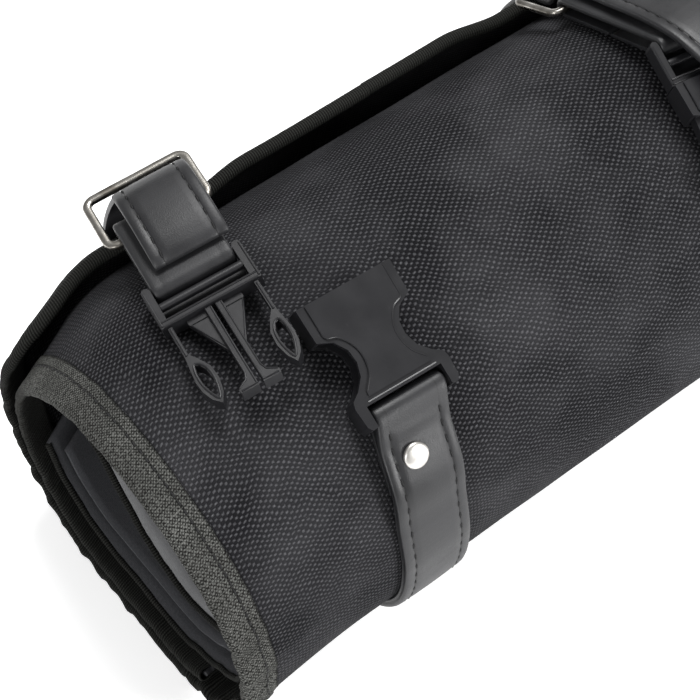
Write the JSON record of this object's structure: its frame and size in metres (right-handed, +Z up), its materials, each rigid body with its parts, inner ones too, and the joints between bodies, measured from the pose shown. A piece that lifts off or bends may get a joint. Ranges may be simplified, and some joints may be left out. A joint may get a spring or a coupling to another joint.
{
  "type": "carving tool roll",
  "caption": "Rolled canvas tool holder with bound edges, slack inner pocket layers, and black leather straps with metal frames and plastic side-release buckles.",
  "frame": {"origin": "the middle of the flat underside of the outer canvas, on the surface the roll lies on", "axes": "+X along the roll towards its fastened strap, +Y towards its back, where the rear straps are sewn, +Z up"},
  "size_m": [0.3238, 0.1606, 0.1334],
  "materials": {
    "canvas": "matte plain-weave canvas, charcoal black",
    "lining": "matte lining, dark grey",
    "binding": "ribbed binding tape, black",
    "leather": "semi-matte smooth black leather",
    "plastic": "satin moulded black plastic",
    "nickel": "worn nickel plate"
  },
  "bodies": {
    "roll": {"outer_canvas": "canvas", "left_rim_binding": "binding", "right_rim_binding": "binding", "free_edge_binding": "binding", "pocket_panel": "lining", "tip_flap": "lining", "strap_L_anchor": "leather", "strap_R_anchor": "leather", "strap_L_base": "leather", "strap_R_base": "leather", "strap_R_front": "leather", "rivet_R": "nickel", "socket_R": "plastic"},
    "rear_strap_L": {"strap_L_rear": "leather", "tab_L": "leather"},
    "frame_L": {"frame_L": "nickel"},
    "plug_L": {"plug_L": "plastic"},
    "arm_L_left": {"plug_L_arm_left": "plastic"},
    "arm_L_right": {"plug_L_arm_right": "plastic"},
    "front_strap_L": {"strap_L_front": "leather", "rivet_L": "nickel"},
    "socket_L": {"socket_L": "plastic"},
    "plug_R": {"strap_R_rear": "leather", "tab_R": "leather", "plug_R": "plastic"},
    "frame_R": {"frame_R": "nickel"},
    "arm_R_left": {"plug_R_arm_left": "plastic"},
    "arm_R_right": {"plug_R_arm_right": "plastic"}
  },
  "joints": [
    {"name": "rear_strap_L_fold", "type": "hinge", "parent": "roll", "child": "rear_strap_L", "pos_m": [-0.0915, 0.0794, 0.07162], "axis": [-1, 0, 0], "range_deg": [0, 140]},
    {"name": "frame_L_tilt", "type": "hinge", "parent": "rear_strap_L", "child": "frame_L", "pos_m": [-0.09993, 0.04329, 0.11811], "axis": [0.9691, -0.175, 0.1736], "range_deg": [0, 12]},
    {"name": "plug_L_tilt", "type": "hinge", "parent": "rear_strap_L", "child": "plug_L", "pos_m": [-0.1044, 0.01921, 0.11876], "axis": [-0.9691, 0.175, -0.1736], "range_deg": [0, 60]},
    {"name": "arm_L_left_squeeze", "type": "hinge", "parent": "plug_L", "child": "arm_L_left", "pos_m": [-0.12201, 0.00634, 0.11653], "axis": [-0.166, 0.057, 0.9845], "range_deg": [0, 7.5], "stiffness_Nm_per_rad": 0.05},
    {"name": "arm_L_right_squeeze", "type": "hinge", "parent": "plug_L", "child": "arm_L_right", "pos_m": [-0.09255, 0.00102, 0.12181], "axis": [0.166, -0.057, -0.9845], "range_deg": [0, 7.5], "stiffness_Nm_per_rad": 0.05},
    {"name": "front_strap_L_fold", "type": "hinge", "parent": "roll", "child": "front_strap_L", "pos_m": [-0.09658, -0.07831, 0.05922], "axis": [1, 0, 0], "range_deg": [0, 70]},
    {"name": "socket_L_tilt", "type": "hinge", "parent": "front_strap_L", "child": "socket_L", "pos_m": [-0.07612, -0.05273, 0.1044], "axis": [0.9984, -0.0558, 0], "range_deg": [0, 80]},
    {"name": "plug_R_release", "type": "slide", "parent": "roll", "child": "plug_R", "axis": [0.1621, 0.9194, 0.3584], "range_m": [0, 0.036]},
    {"name": "frame_R_tilt", "type": "hinge", "parent": "plug_R", "child": "frame_R", "pos_m": [0.084, 0.04, 0.1102], "axis": [0.9994, 0.0349, 0], "range_deg": [0, 8]},
    {"name": "arm_R_left_squeeze", "type": "hinge", "parent": "plug_R", "child": "arm_R_left", "pos_m": [0.06786, -0.01923, 0.11961], "axis": [-0.0622, -0.3529, 0.9336], "range_deg": [0, 7.6], "stiffness_Nm_per_rad": 0.05},
    {"name": "arm_R_right_squeeze", "type": "hinge", "parent": "plug_R", "child": "arm_R_right", "pos_m": [0.0978, -0.02451, 0.11961], "axis": [0.0622, 0.3529, -0.9336], "range_deg": [0, 7.6], "stiffness_Nm_per_rad": 0.05}
  ],
  "couplings": [
    {"joint": "arm_R_left_squeeze", "follows": "plug_R_release", "rad_per_m": 3.64},
    {"joint": "arm_R_right_squeeze", "follows": "plug_R_release", "rad_per_m": 3.64}
  ]
}
